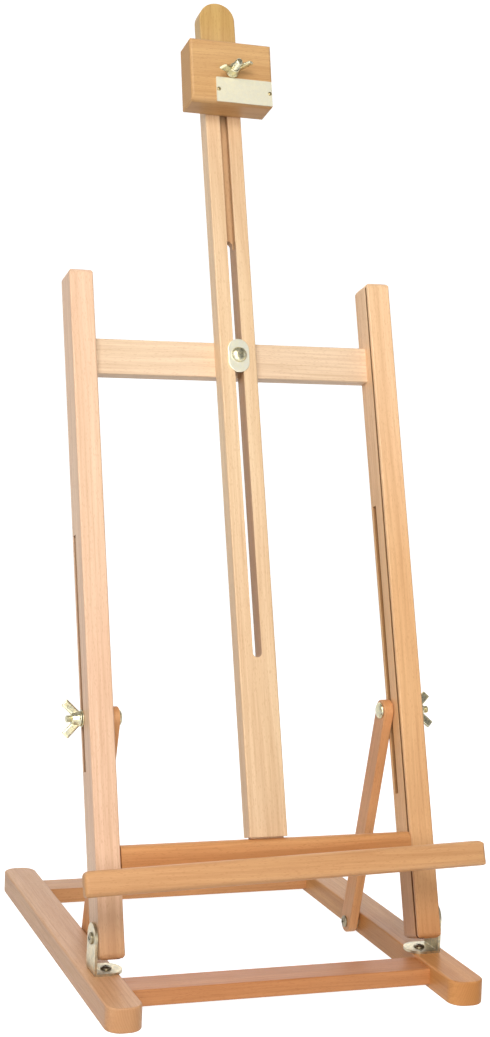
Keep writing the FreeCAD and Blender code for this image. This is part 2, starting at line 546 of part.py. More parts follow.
npl = ext(rect_wire(PLATE_CX - NAME_W / 2, PLATE_CX + NAME_W / 2, PLATE_CS - NAME_H / 2, PLATE_CS + NAME_H / 2, 0.8,
                    lambda a, b: V(a, BLK_B0 - NAME_T, b)), V(0, NAME_T, 0))
for px in (PLATE_CX - NAME_W / 2 + 2.0, PLATE_CX + NAME_W / 2 - 2.0):
    npl = npl.cut(cyl((px, BLK_B0 - 2, PLATE_CS), BACK, 0.9, 5))
    pr = [(0.0, -6.5), (0.15, -6.5), (0.75, -5.2), (0.75, 0.0)] + dome_profile(1.7, 0.95, 0.0, 5, 0.2)
    pins.append(revolve_profile(pr, (px, BLK_B0 - NAME_T, PLATE_CS), FWD))
save("nameplate", tilt(turned(npl, BLK_TURN, CBOLT_S)))
save("nameplate_pins", tilt(turned(Part.makeCompound(pins), BLK_TURN, CBOLT_S)))

print("hinge", round(HINGE_Y, 4), round(HINGE_Z, 4), "stay foot", STAY_Y, STAY_Z, "bolt", round(BOLT_Y, 4), round(BOLT_Z, 4),
      "stay length", round(STAY_L, 4))
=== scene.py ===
import json
import math

import bmesh
import bpy
from mathutils import Euler, Matrix, Vector


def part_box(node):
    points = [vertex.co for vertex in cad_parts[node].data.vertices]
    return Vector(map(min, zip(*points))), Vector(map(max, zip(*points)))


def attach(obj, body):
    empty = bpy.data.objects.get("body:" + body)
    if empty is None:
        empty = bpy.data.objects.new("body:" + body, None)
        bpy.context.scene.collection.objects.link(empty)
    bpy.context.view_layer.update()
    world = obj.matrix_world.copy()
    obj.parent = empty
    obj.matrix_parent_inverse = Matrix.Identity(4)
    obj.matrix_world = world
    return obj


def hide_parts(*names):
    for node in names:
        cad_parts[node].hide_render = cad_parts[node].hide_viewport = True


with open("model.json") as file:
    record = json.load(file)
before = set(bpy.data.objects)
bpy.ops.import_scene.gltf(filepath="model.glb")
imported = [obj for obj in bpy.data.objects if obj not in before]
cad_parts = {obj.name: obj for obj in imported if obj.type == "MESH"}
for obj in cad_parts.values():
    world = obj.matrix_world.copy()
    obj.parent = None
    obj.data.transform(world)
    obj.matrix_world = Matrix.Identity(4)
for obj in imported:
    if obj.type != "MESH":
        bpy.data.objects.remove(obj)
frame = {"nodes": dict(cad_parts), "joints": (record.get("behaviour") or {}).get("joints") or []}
nodes = frame["nodes"]
joints = {j["name"]: j for j in frame["joints"]}
bpy.context.view_layer.update()
MM = 0.001

# the leaning frame's tilt, read from the sliding joint's axis
UP = Vector(joints["carriage_slide"]["axis"]).normalized()
LEAN = math.atan2(UP.y, UP.z)
FRONT = Vector((0.0, -math.cos(LEAN), math.sin(LEAN)))
_p = Vector(joints["mast_nut_spin"]["pos_m"])
# the mast lock nut sits 29.3 mm behind the posts' front plane
PLANE_Y = (_p.y * math.cos(LEAN) - _p.z * math.sin(LEAN) - 29.3 * MM) / math.cos(LEAN)
BACK = -FRONT

# ---------------------------------------------------------------- camera
F_PX, CX_PX = 1764.04, 150.0
W_PX, H_PX = 490.0, 1037.0
yaw, pitch, roll = 0.2953, -0.0835, 0.0329
fwd = Vector((math.sin(yaw) * math.cos(pitch), math.cos(yaw) * math.cos(pitch), math.sin(pitch)))
right = Vector((math.cos(yaw), -math.sin(yaw), 0.0))
up = right.cross(fwd)
r2 = math.cos(roll) * right + math.sin(roll) * up
u2 = -math.sin(roll) * right + math.cos(roll) * up
cam_data = bpy.data.cameras.new("camera")
cam_data.sensor_fit = "AUTO"
cam_data.sensor_width = 36.0
cam_data.lens = F_PX / H_PX * 36.0
cam_data.shift_x = (W_PX / 2 - CX_PX) / H_PX
cam_data.clip_start, cam_data.clip_end = 0.05, 50.0
cam = bpy.data.objects.new("camera", cam_data)
bpy.context.scene.collection.objects.link(cam)
m = Matrix((r2, u2, -fwd)).transposed().to_4x4()
m.translation = Vector((-0.494007, -1.371680, 0.478507))
cam.matrix_world = m
bpy.context.scene.camera = cam


# ---------------------------------------------------------------- node helpers
def new_mat(name):
    mat = bpy.data.materials.new(name)
    mat.use_nodes = True
    nt = mat.node_tree
    bsdf = nt.nodes["Principled BSDF"]
    return mat, nt, bsdf


def lin(r, g, b):
    def f(c):
        c /= 255.0
        return c / 12.92 if c <= 0.04045 else ((c + 0.055) / 1.055) ** 2.4
    return (f(r), f(g), f(b), 1.0)


class NT:
    """Small helper for wiring nodes."""

    def __init__(self, nt):
        self.nt = nt

    def node(self, kind, **props):
        n = self.nt.nodes.new(kind)
        for k, v in props.items():
            setattr(n, k, v)
        return n

    def link(self, a, b):
        self.nt.links.new(a, b)

    def put(self, sock, value):
        if isinstance(value, bpy.types.NodeSocket):
            self.link(value, sock)
        else:
            sock.default_value = value

    def math(self, op, a, b=0.0, c=None, clamp=False):
        n = self.node("ShaderNodeMath", operation=op, use_clamp=clamp)
        self.put(n.inputs[0], a)
        self.put(n.inputs[1], b)
        if c is not None:
            self.put(n.inputs[2], c)
        return n.outputs[0]

    def mapping(self, vec, loc=(0, 0, 0), rot=(0, 0, 0), scale=(1, 1, 1), kind="POINT"):
        n = self.node("ShaderNodeMapping", vector_type=kind)
        self.link(vec, n.inputs["Vector"])
        if kind in ("POINT", "TEXTURE"):
            n.inputs["Location"].default_value = loc
        n.inputs["Rotation"].default_value = rot
        n.inputs["Scale"].default_value = scale
        return n.outputs[0]

    def noise(self, vec, scale, detail=3.0, rough=0.55, distortion=0.0):
        n = self.node("ShaderNodeTexNoise")
        self.link(vec, n.inputs["Vector"])
        n.inputs["Scale"].default_value = scale
        n.inputs["Detail"].default_value = detail
        n.inputs["Roughness"].default_value = rough
        n.inputs["Distortion"].default_value = distortion
        return n.outputs["Fac"]

    def ramp(self, fac, stops, mode="LINEAR"):
        n = self.node("ShaderNodeValToRGB")
        n.color_ramp.interpolation = mode
        els = n.color_ramp.elements
        while len(els) > 1:
            els.remove(els[-1])
        els[0].position, els[0].color = stops[0]
        for p, c in stops[1:]:
            e = els.new(p)
            e.color = c
        self.link(fac, n.inputs[0])
        return n.outputs["Color"]

    def span(self, v, a, b, lo=0.0, hi=1.0, smooth=True):
        n = self.node("ShaderNodeMapRange")
        n.interpolation_type = "SMOOTHSTEP" if smooth else "LINEAR"
        self.put(n.inputs["Value"], v)
        n.inputs["From Min"].default_value = a
        n.inputs["From Max"].default_value = b
        n.inputs["To Min"].default_value = lo
        n.inputs["To Max"].default_value = hi
        return n.outputs["Result"]

    def mix(self, fac, a, b, blend="MIX"):
        n = self.node("ShaderNodeMix", data_type="RGBA", blend_type=blend, clamp_factor=True)
        self.put(n.inputs[0], fac)
        self.put(n.inputs[6], a)
        self.put(n.inputs[7], b)
        return n.outputs[2]


def wood(name, rot, light, mid, dark, seed, pith=(0.03, 0.045), ring=0.0034, ring_amount=0.30, rough=0.44, slot_shade_boxes=(), tint_shade_by_height=()):
    """Beech with its grain along the member. rot turns object space so that z runs with the grain.

    tint_shade_by_height lists (height above the table from, to, tint at the far end): slow changes along a stick,
    partly the wood's own tone and partly painted shade.
    slot_shade_boxes lists (|x| from, to, depth from, to, keep, height from, to) for painted shade: faces within a
    groove or slot are darkened to stand in for the shadow inside it.
    """
    mat, nt, bsdf = new_mat(name)
    k = NT(nt)
    tc = k.node("ShaderNodeTexCoord")
    off = (0.137 * seed % 0.31, 0.071 * seed % 0.27, 0.911 * seed % 1.7)
    g = k.mapping(tc.outputs["Object"], rot=rot)
    g = k.mapping(g, loc=off)
    # slow wander of the fibres, so that no streak runs dead straight
    wander = k.noise(k.mapping(g, scale=(7, 7, 2.2)), 1.0, 2.0)
    w2 = k.node("ShaderNodeCombineXYZ")
    k.put(w2.inputs[0], k.math("MULTIPLY", k.math("SUBTRACT", wander, 0.5), 0.012))
    k.put(w2.inputs[1], k.math("MULTIPLY", k.math("SUBTRACT", wander, 0.5), -0.008))
    add = k.node("ShaderNodeVectorMath", operation="ADD")
    k.link(g, add.inputs[0])
    k.link(w2.outputs[0], add.inputs[1])
    gw = add.outputs[0]

    # growth rings about a pith outside the stick
    rel = k.mapping(gw, loc=(-off[0] + pith[0], -off[1] + pith[1], 0.0), scale=(1, 1, 0.02))
    sep = k.node("ShaderNodeSeparateXYZ")
    k.link(rel, sep.inputs[0])
    rad = k.math("SQRT", k.math("ADD", k.math("MULTIPLY", sep.outputs[0], sep.outputs[0]),
                                 k.math("MULTIPLY", sep.outputs[1], sep.outputs[1])))
    rad = k.math("ADD", rad, k.math("MULTIPLY", k.noise(k.mapping(gw, scale=(26, 26, 2.6)), 1.0, 3.0), ring * 2.4))
    phase = k.math("FRACT", k.math("DIVIDE", rad, ring))
    late = k.math("ADD", k.span(phase, 0.45, 0.95, 0.0, 1.0), k.span(phase, 0.95, 1.0, 0.0, -1.0))
    ring_mod = k.span(k.noise(k.mapping(gw, scale=(40, 40, 4)), 1.0, 2.0), 0.35, 0.7, 0.2, 1.0)
    late = k.math("MULTIPLY", late, ring_mod)

    # broad streaks, then narrow ones, then single fibres
    broad = k.noise(k.mapping(gw, scale=(120, 120, 3.4)), 1.0, 4.0, 0.6)
    streak = k.noise(k.mapping(gw, scale=(520, 520, 9.0)), 1.0, 4.0, 0.62)
    fibre = k.noise(k.mapping(gw, scale=(1700, 1700, 42)), 1.0, 3.0, 0.6)
    fine = k.noise(k.mapping(gw, scale=(4200, 4200, 190)), 1.0, 2.0, 0.6)
    tone = k.noise(k.mapping(g, scale=(9, 9, 2.6)), 1.0, 2.0)

    # short ray flecks, slightly darker than the ground
    vor = k.node("ShaderNodeTexVoronoi", feature="F1", distance="EUCLIDEAN")
    k.link(k.mapping(gw, scale=(1250, 1250, 260)), vor.inputs["Vector"])
    vor.inputs["Scale"].default_value = 1.0
    vor.inputs["Randomness"].default_value = 1.0
    vsep = k.node("ShaderNodeSeparateColor")
    k.link(vor.outputs["Color"], vsep.inputs[0])
    lim = k.span(vsep.outputs[0], 0.0, 1.0, 0.02, 0.44, smooth=False)
    fleck = k.span(k.math("SUBTRACT", lim, vor.outputs["Distance"]), -0.05, 0.12)

    # end grain where the surface faces along the fibres
    nrm = k.mapping(tc.outputs["Normal"], rot=rot, kind="NORMAL")
    ns = k.node("ShaderNodeSeparateXYZ")
    k.link(nrm, ns.inputs[0])
    endg = k.span(k.math("ABSOLUTE", ns.outputs[2]), 0.60, 0.96)

    col = k.mix(k.span(broad, 0.3, 0.7), light, mid)
    col = k.mix(k.math("MULTIPLY", late, ring_amount), col, dark)
    col = k.mix(k.math("MULTIPLY", k.span(streak, 0.44, 0.72), 0.34), col, dark)
    col = k.mix(k.math("MULTIPLY", k.span(fibre, 0.46, 0.76), 0.26), col, dark)
    col = k.mix(k.math("MULTIPLY", k.span(fine, 0.5, 0.8), 0.16), col, dark)
    col = k.mix(k.math("MULTIPLY", fleck, 0.34), col, dark)
    hsv = k.node("ShaderNodeHueSaturation")
    k.link(col, hsv.inputs["Color"])
    k.put(hsv.inputs["Hue"], k.span(tone, 0.25, 0.75, 0.493, 0.505, smooth=False))
    k.put(hsv.inputs["Saturation"], k.span(tone, 0.25, 0.75, 1.06, 0.94, smooth=False))
    k.put(hsv.inputs["Value"], k.span(tone, 0.25, 0.75, 0.95, 1.05, smooth=False))

    # the sawn and rounded ends: fine, almost parallel rings and tiny open pores
    eph = k.math("FRACT", k.math("DIVIDE", rad, 0.0019))
    elate = k.math("ADD", k.span(eph, 0.3, 0.9, 0.0, 1.0), k.span(eph, 0.9, 1.0, 0.0, -1.0))
    epore = k.span(k.noise(k.mapping(gw, scale=(2600, 2600, 300)), 1.0, 2.0), 0.52, 0.74)
    ec = k.mix(k.math("MULTIPLY", elate, 0.34), (mid[0] * 0.93, mid[1] * 0.88, mid[2] * 0.82, 1.0), dark)
    ec = k.mix(k.math("MULTIPLY", epore, 0.25), ec, dark)
    endc = k.mix(k.math("MULTIPLY", endg, 0.85), hsv.outputs[0], ec)
    # darker towards one end of the stick: partly the wood's tone, partly painted shade
    if tint_shade_by_height:
        hs = k.node("ShaderNodeSeparateXYZ")
        k.link(tc.outputs["Object"], hs.inputs[0])
        for z0, z1, tint in tint_shade_by_height:
            endc = k.mix(k.span(hs.outputs[2], z0, z1), endc, k.mix(1.0, endc, (*tint, 1.0), "MULTIPLY"))
    if slot_shade_boxes:
        osep = k.node("ShaderNodeSeparateXYZ")
        k.link(tc.outputs["Object"], osep.inputs[0])
        ax = k.math("ABSOLUTE", osep.outputs[0])
        dep = k.math("SUBTRACT", k.math("MULTIPLY", k.math("SUBTRACT", osep.outputs[1], PLANE_Y), math.cos(LEAN)),
                     k.math("MULTIPLY", osep.outputs[2], math.sin(LEAN)))
        # painted shade: darken the faces inside each groove or slot, as if they lay in shadow
        for x0, x1, d0, d1, keep, h0, h1 in slot_shade_boxes:
            e = 0.00005
            inx = k.math("MULTIPLY", k.span(ax, x0 * MM - e, x0 * MM + e, smooth=False),
                         k.span(ax, x1 * MM - e, x1 * MM + e, 1.0, 0.0, smooth=False))
            ind = k.math("MULTIPLY", k.span(dep, d0 * MM - e, d0 * MM + e, smooth=False),
                         k.span(dep, d1 * MM - e, d1 * MM + e, 1.0, 0.0, smooth=False))
            shade = k.mix(1.0, endc, (keep, keep * 0.86, keep * 0.72, 1.0), "MULTIPLY")
            inh = k.math("MULTIPLY", k.span(osep.outputs[2], h0 - e, h0 + e, smooth=False),
                         k.span(osep.outputs[2], h1 - e, h1 + e, 1.0, 0.0, smooth=False))
            endc = k.mix(k.math("MULTIPLY", k.math("MULTIPLY", inx, ind), inh), endc, shade)
    k.link(endc, bsdf.inputs["Base Color"])

    r = k.math("ADD", k.span(fibre, 0.3, 0.75, rough - 0.05, rough + 0.08), k.math("MULTIPLY", endg, 0.14))
    k.link(r, bsdf.inputs["Roughness"])
    bsdf.inputs["Specular IOR Level"].default_value = 0.40
    h = k.math("ADD", k.math("MULTIPLY", fibre, 0.6), k.math("MULTIPLY", fine, 0.5))
    h = k.math("SUBTRACT", h, k.math("MULTIPLY", fleck, 0.45))
    b = k.node("ShaderNodeBump")
    b.inputs["Strength"].default_value = 0.35
    b.inputs["Distance"].default_value = 0.00012
    k.link(h, b.inputs["Height"])
    k.link(b.outputs[0], bsdf.inputs["Normal"])
    return mat


def zinc(name, yellow, grey, warm, seed, rough=0.27, metal=1.0):
    """Yellow-passivated zinc plate: patchy tint, fine tumbled scratches."""
    mat, nt, bsdf = new_mat(name)
    k = NT(nt)
    tc = k.node("ShaderNodeTexCoord")
    g = k.mapping(tc.outputs["Object"], loc=(0.13 * seed, 0.29 * seed, 0.07 * seed), rot=(0.4, 0.7, 0.2))
    a = k.noise(g, 260.0, 4.0, 0.6, 0.6)
    b_ = k.noise(g, 620.0, 3.0, 0.55, 0.3)
    scr = k.noise(k.mapping(g, scale=(900, 9000, 900)), 1.0, 2.0)
    grit = k.noise(g, 5200.0, 2.0)
    col = k.mix(k.span(a, 0.36, 0.62), yellow, grey)
    col = k.mix(k.math("MULTIPLY", k.span(b_, 0.5, 0.74), 0.5), col, warm)
    k.link(col, bsdf.inputs["Base Color"])
    bsdf.inputs["Metallic"].default_value = metal
    k.link(k.math("ADD", k.span(b_, 0.3, 0.7, rough - 0.05, rough + 0.09), k.math("MULTIPLY", grit, 0.05)),
           bsdf.inputs["Roughness"])
    bp = k.node("ShaderNodeBump")
    bp.inputs["Strength"].default_value = 0.25
    bp.inputs["Distance"].default_value = 0.00006
    k.link(k.math("ADD", k.math("MULTIPLY", scr, 0.5), k.math("MULTIPLY", grit, 0.6)), bp.inputs["Height"])
    k.link(bp.outputs[0], bsdf.inputs["Normal"])
    return mat


# ---------------------------------------------------------------- wood on the CAD nodes
R_POST = (LEAN, 0.0, 0.0)
R_LEANX = (LEAN, -math.pi / 2, 0.0)
R_X = (0.0, -math.pi / 2, 0.0)
R_Y = (math.pi / 2, 0.0, 0.0)
stay_axis = (Vector(joints["right_nut_spin"]["pos_m"]) - Vector(joints["right_stay_swing"]["pos_m"]))
R_STAY = (-math.atan2(-stay_axis.y, stay_axis.z), 0.0, 0.0)
R_LEANB = (math.pi / 2 + LEAN, 0.0, 0.0)



def shades(r, g, b):
    """Light, middle and dark of one stick from its mean linear colour."""
    return ((r * 1.10, g * 1.12, b * 1.15, 1.0), (r * 0.97, g * 0.94, b * 0.91, 1.0), (r * 0.70, g * 0.56, b * 0.45, 1.0))


# mean linear colour of each stick: the low rails, feet, stays and tray are darker and more orange than the posts,
# partly their own tone and partly painted shade
BEECH = {
    "left_post": (0.765, 0.518, 0.346),
    "right_post": (0.82, 0.54, 0.31),
    "top_crossbar": (0.764, 0.572, 0.39),
    "mast": (0.73, 0.52, 0.315),
    "carriage_rail": (0.58, 0.265, 0.09),
    "ledge_board": (0.602, 0.283, 0.111),
    "tray_lip": (0.60, 0.335, 0.15),
    "left_foot": (0.57, 0.315, 0.155),
    "right_foot": (0.55, 0.25, 0.075),
    "front_cross_rail": (0.49, 0.205, 0.07),
    "rear_cross_rail": (0.563, 0.27, 0.104),
    "left_stay": (0.667, 0.332, 0.138),
    "right_stay": (0.667, 0.332, 0.138),
    "clamp_block": (0.565, 0.335, 0.14),
    "dowels": (0.62, 0.36, 0.2),
}
woods = {
    "left_post": (R_POST, 1.0, (0.034, 0.05)),
    "right_post": (R_POST, 2.3, (-0.052, 0.021)),
    "top_crossbar": (R_LEANX, 3.1, (0.06, 0.02)),
    "mast": (R_POST, 4.7, (0.018, 0.055)),
    "carriage_rail": (R_LEANX, 5.2, (0.05, 0.03)),
    "ledge_board": (R_LEANX, 5.9, (0.02, 0.06)),
    "tray_lip": (R_LEANX, 6.4, (0.012, 0.04)),
    "left_foot": (R_Y, 7.7, (0.065, 0.03)),
    "right_foot": (R_Y, 8.6, (0.03, 0.07)),
    "front_cross_rail": (R_X, 9.2, (0.05, 0.035)),
    "rear_cross_rail": (R_X, 10.4, (0.03, 0.05)),
    "left_stay": (R_STAY, 11.5, (0.04, 0.03)),
    "right_stay": (R_STAY, 12.3, (0.03, 0.04)),
    "clamp_block": (R_LEANX, 13.1, (0.035, 0.03)),
    "rail_dowels": (R_X, 14.9, (0.05, 0.05)),
    "crossbar_dowels": (R_LEANX, 15.2, (0.05, 0.05)),
    "lip_dowels": (R_LEANB, 16.8, (0.05, 0.05)),
}
# painted shade on the faces inside the grooves and slots of the posts, and the slot of the mast, standing in for the
# shadow there:
# (|x| from, to, depth from, to, kept brightness, height above the table from, to)
POST_SHADED_SLOTS = ((121.95, 127.9, 2.7, 6.0, 0.30, 0.03, 0.556), (122.1, 141.5, 17.55, 24.45, 0.50, 0.08, 0.50))
SHADED_SLOTS = {"left_post": POST_SHADED_SLOTS, "right_post": POST_SHADED_SLOTS, "mast": ((-1.0, 7.3, 0.1, 14.8, 0.80, 0.12, 0.765),)}
# colour by height: the posts' darker bottoms are the tray lip's shadow, painted; the right post's darker lower half and
# the mast's darker, yellower top are partly the wood's tone and partly painted shade
TINTS_AND_SHADE_BY_HEIGHT = {"mast": ((0.70, 0.785, (0.74, 0.66, 0.37)),),
         "left_post": ((0.10, 0.035, (0.68, 0.55, 0.40)),),
         "right_post": ((0.50, 0.28, (0.90, 0.83, 0.70)), (0.10, 0.035, (0.78, 0.66, 0.56)))}
for n, (rot, seed, pith) in woods.items():
    l, md, d = shades(*BEECH.get(n, BEECH["dowels"]))
    nodes[n].data.materials.clear()
    nodes[n].data.materials.append(wood("beech_" + n, rot, l, md, d, seed, pith, slot_shade_boxes=SHADED_SLOTS.get(n, ()),
                                         tint_shade_by_height=TINTS_AND_SHADE_BY_HEIGHT.get(n, ())))

ZY, ZG, ZW = (0.74, 0.67, 0.41, 1), (0.50, 0.49, 0.37, 1), (0.60, 0.48, 0.29, 1)
zinc_hw = zinc("yellow_zinc", ZY, ZG, ZW, 1.0, 0.27)
zinc_dk = zinc("dark_zinc_screw", (0.34, 0.29, 0.19, 1), (0.24, 0.22, 0.17, 1), (0.30, 0.23, 0.15, 1), 1.7, 0.30)
zinc_br = zinc("zinc_bracket", (0.60, 0.52, 0.35, 1), (0.42, 0.39, 0.29, 1), (0.48, 0.37, 0.24, 1), 2.0, 0.32)
zinc_pl = zinc("zinc_lock_plate", (0.93, 0.90, 0.70, 1), (0.90, 0.88, 0.75, 1), (0.90, 0.83, 0.63, 1), 3.0, 0.38, 0.75)
brass_pl = zinc("pale_brass_plate", (0.78, 0.74, 0.56, 1), (0.74, 0.71, 0.56, 1), (0.75, 0.68, 0.48, 1), 4.0, 0.42, 0.35)
brass_pin = zinc("brass_pin", (0.42, 0.33, 0.16, 1), (0.34, 0.29, 0.17, 1), (0.38, 0.27, 0.14, 1), 5.0, 0.3)
for n in ("bracket_screws", "stay_foot_screws", "stay_spacer_washers", "left_pivot_screw", "right_pivot_screw",
          "mast_lock_washer", "ledge_screws", "clamp_washer", "left_lock_washer", "right_lock_washer",
          "left_stay_bolt_head", "right_stay_bolt_head", "left_stay_bolt_end", "right_stay_bolt_end",
          "mast_lock_bolt", "mast_lock_nut", "clamp_bolt", "clamp_wing_nut", "left_wing_nut", "right_wing_nut"):
    nodes[n].data.materials.clear()
    nodes[n].data.materials.append(zinc_dk if "screw" in n else zinc_hw)
for n, mt in (("left_hinge_bracket", zinc_br), ("right_hinge_bracket", zinc_br), ("mast_lock_plate", zinc_pl),
              ("nameplate", brass_pl), ("nameplate_pins", brass_pin)):
    nodes[n].data.materials.clear()
    nodes[n].data.materials.append(mt)


# ---------------------------------------------------------------- hardware meshes
def finish_mesh(bm, name, mat, sharp=38.0):
    bmesh.ops.recalc_face_normals(bm, faces=bm.faces)
    for e in bm.edges:
        if len(e.link_faces) == 2:
            e.smooth = e.calc_face_angle(0.0) < math.radians(sharp)
    for f in bm.faces:
        f.smooth = True
    me = bpy.data.meshes.new(name)
    bm.to_mesh(me)
    bm.free()
    o = bpy.data.objects.new(name, me)
    bpy.context.scene.collection.objects.link(o)
    me.materials.append(mat)
    return o


def frame_at(origin, axis, side=None):
    """Matrix that puts local z on axis and local x as near side as it can be."""
    z = Vector(axis).normalized()
    s = Vector(side) if side is not None else Vector((0.13, 0.77, 0.31))
    x = (s - s.dot(z) * z).normalized()
    y = z.cross(x)
    mt = Matrix((x, y, z)).transposed().to_4x4()
    mt.translation = Vector(origin)
    return mt


def lathe(bm, prof, seg=56):
    """Rings from (radius mm, height mm) points; a zero radius is a pole."""
    rings = []
    for r, z in prof:
        if r < 1e-6:
            rings.append([bm.verts.new((0, 0, z * MM))])
        else:
            rings.append([bm.verts.new((r * MM * math.cos(2 * math.pi * i / seg), r * MM * math.sin(2 * math.pi * i / seg), z * MM))
                          for i in range(seg)])
    for a, b in zip(rings, rings[1:]):
        for i in range(seg):
            j = (i + 1) % seg
            if len(a) == 1:
                bm.faces.new((a[0], b[j], b[i]))
            elif len(b) == 1:
                bm.faces.new((a[i], a[j], b[0]))
            else:
                bm.faces.new((a[i], a[j], b[j], b[i]))
    return rings


def arc_pts(cx, cz, r, a0, a1, n):
    return [(cx + r * math.cos(math.radians(a0 + (a1 - a0) * i / n)), cz + r * math.sin(math.radians(a0 + (a1 - a0) * i / n)))
            for i in range(n + 1)]


def threaded(bm, z0, z1, r_maj=3.0, r_min=2.42, pitch=1.0, seg=36, per=8, close_lo=True):
    """Closed threaded rod: a fine grid whose radius follows the helix."""
    n = max(4, int(round((z1 - z0) / pitch * per)))
    rings = []
    for i in range(n + 1):
        z = z0 + (z1 - z0) * i / n
        ring = []
        for j in range(seg):
            a = 2 * math.pi * j / seg
            t = (z / pitch - j / seg) % 1.0
            tri = abs(t * 2 - 1)
            f = min(1.0, max(0.0, (tri - 0.10) / 0.78))
            r = r_min + (r_maj - r_min) * f
            # run-out chamfer at the free end
            r = min(r, r_min - 0.15 + (z1 - z) * 1.15)
            ring.append(bm.verts.new((r * MM * math.cos(a), r * MM * math.sin(a), z * MM)))
        rings.append(ring)
    for a, b in zip(rings, rings[1:]):
        for i in range(seg):
            j = (i + 1) % seg
            bm.faces.new((a[i], a[j], b[j], b[i]))
    for ring, z in ((rings[0], z0), (rings[-1], z1)):
        c = bm.verts.new((0, 0, z * MM))
        for i in range(seg):
            bm.faces.new((ring[i], ring[(i + 1) % seg], c))


def dome_head(r, h, rim=0.55):
    """Low dome above z = 0 with a softened rim."""
    pts = [(0.0, 0.0), (r - 0.25, 0.0), (r - 0.05, 0.12), (r, 0.32), (r, rim)]
    n = 14
    for i in range(1, n + 1):
        a = math.pi / 2 * i / n
        pts.append((r * math.cos(a) ** 0.92 if i < n else 0.0, rim + (h - rim) * math.sin(a)))
    return pts


def make_wing_nut(name):
    """Pressed wing nut, base on z = 0, axis +z, wings along x; the parts are fused and smoothed like a die casting."""
    bm = bmesh.new()
    prof = [(0, 0), (5.5, 0), (6.05, 0.25), (6.2, 0.8), (6.05, 1.35), (5.55, 2.0), (5.1, 3.6), (4.75, 5.6), (4.55, 7.0),
            (4.3, 7.7), (3.8, 8.05), (0, 8.05)]
    lathe(bm, prof, 40)
    for sgn in (-1, 1):
        # a straight paddle that grows out of the hub, square at its end with soft corners
        x0, z0, x1, z1 = 2.9, 2.9, 13.0, 13.2
        ln = math.hypot(x1 - x0, z1 - z0)
        ux, uz = (x1 - x0) / ln, (z1 - z0) / ln
        nx, nz = -uz, ux
        secs = 9
        loops = []
        for i in range(secs + 1):
            t = i / secs
            d = t * ln
            half = 3.1 + 0.2 * t
            th = 1.75 - 0.55 * t
            cx, cz = x0 + ux * d, z0 + uz * d
            loop = []
            for a, b in ((-1, -0.72), (-1, 0.72), (-0.72, 1), (0.72, 1), (1, 0.72), (1, -0.72), (0.72, -1), (-0.72, -1)):
                loop.append(bm.verts.new((sgn * (cx + nx * half * a) * MM, th * b * MM, (cz + nz * half * a) * MM)))
            loops.append(loop)
        for A, B in zip(loops, loops[1:]):
            for i in range(8):
                j = (i + 1) % 8
                bm.faces.new((A[i], A[j], B[j], B[i]))
        bm.faces.new(loops[0])
        bm.faces.new(list(reversed(loops[-1])))
    bmesh.ops.recalc_face_normals(bm, faces=bm.faces)
    me = bpy.data.meshes.new(name + "_raw")
    bm.to_mesh(me)
    bm.free()
    o = bpy.data.objects.new(name + "_raw", me)
    bpy.context.scene.collection.objects.link(o)
    md = o.modifiers.new("fuse", "REMESH")
    md.mode = "VOXEL"
    md.voxel_size = 0.00034
    md.use_smooth_shade = True
    sm = o.modifiers.new("soften", "SMOOTH")
    sm.factor = 0.5
    sm.iterations = 5
    # bore
    bm = bmesh.new()
    lathe(bm, [(0, -3), (3.06, -3), (3.06, 12), (0, 12)], 48)
    bmesh.ops.recalc_face_normals(bm, faces=bm.faces)
    cme = bpy.data.meshes.new(name + "_bore")
    bm.to_mesh(cme)
    bm.free()
    cut = bpy.data.objects.new(name + "_bore", cme)
    bpy.context.scene.collection.objects.link(cut)
    bo = o.modifiers.new("bore", "BOOLEAN")
    bo.operation = "DIFFERENCE"
    bo.solver = "EXACT"
    bo.object = cut
    bpy.context.view_layer.update()
    dg = bpy.context.evaluated_depsgraph_get()
    out = bpy.data.meshes.new_from_object(o.evaluated_get(dg))
    out.name = name
    bpy.data.objects.remove(o)
    bpy.data.objects.remove(cut)
    bm = bmesh.new()
    bm.from_mesh(out)
    for e in bm.edges:
        if len(e.link_faces) == 2:
            e.smooth = e.calc_face_angle(0.0) < math.radians(50)
    for f in bm.faces:
        f.smooth = True
    bm.to_mesh(out)
    bm.free()
    return out


def ear_dir(node, origin, axis):
    """Direction of the CAD nut's ears across its axis, from its farthest points."""
    z = Vector(axis).normalized()
    o = Vector(origin)
    best, far = None, 0.0
    for v in nodes[node].data.vertices:
        d = v.co - o
        d -= d.dot(z) * z
        if d.length > far:
            best, far = d.copy(), d.length
    return best.normalized()


nut_mesh = make_wing_nut("wing_nut")
nut_mesh.materials.clear()
nut_mesh.materials.append(zinc_hw)
for joint, node, body in (("left_nut_spin", "left_wing_nut", "left_nut"), ("right_nut_spin", "right_wing_nut", "right_nut"),
                          ("mast_nut_spin", "mast_lock_nut", "mast_nut"), ("clamp_nut_spin", "clamp_wing_nut", "clamp_nut")):
    j = joints[joint]
    o = bpy.data.objects.new(node + "_cast", nut_mesh.copy())
    bpy.context.scene.collection.objects.link(o)
    o.data.transform(frame_at(j["pos_m"], j["axis"], ear_dir(node, j["pos_m"], j["axis"])))
    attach(o, body)
    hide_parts(node)

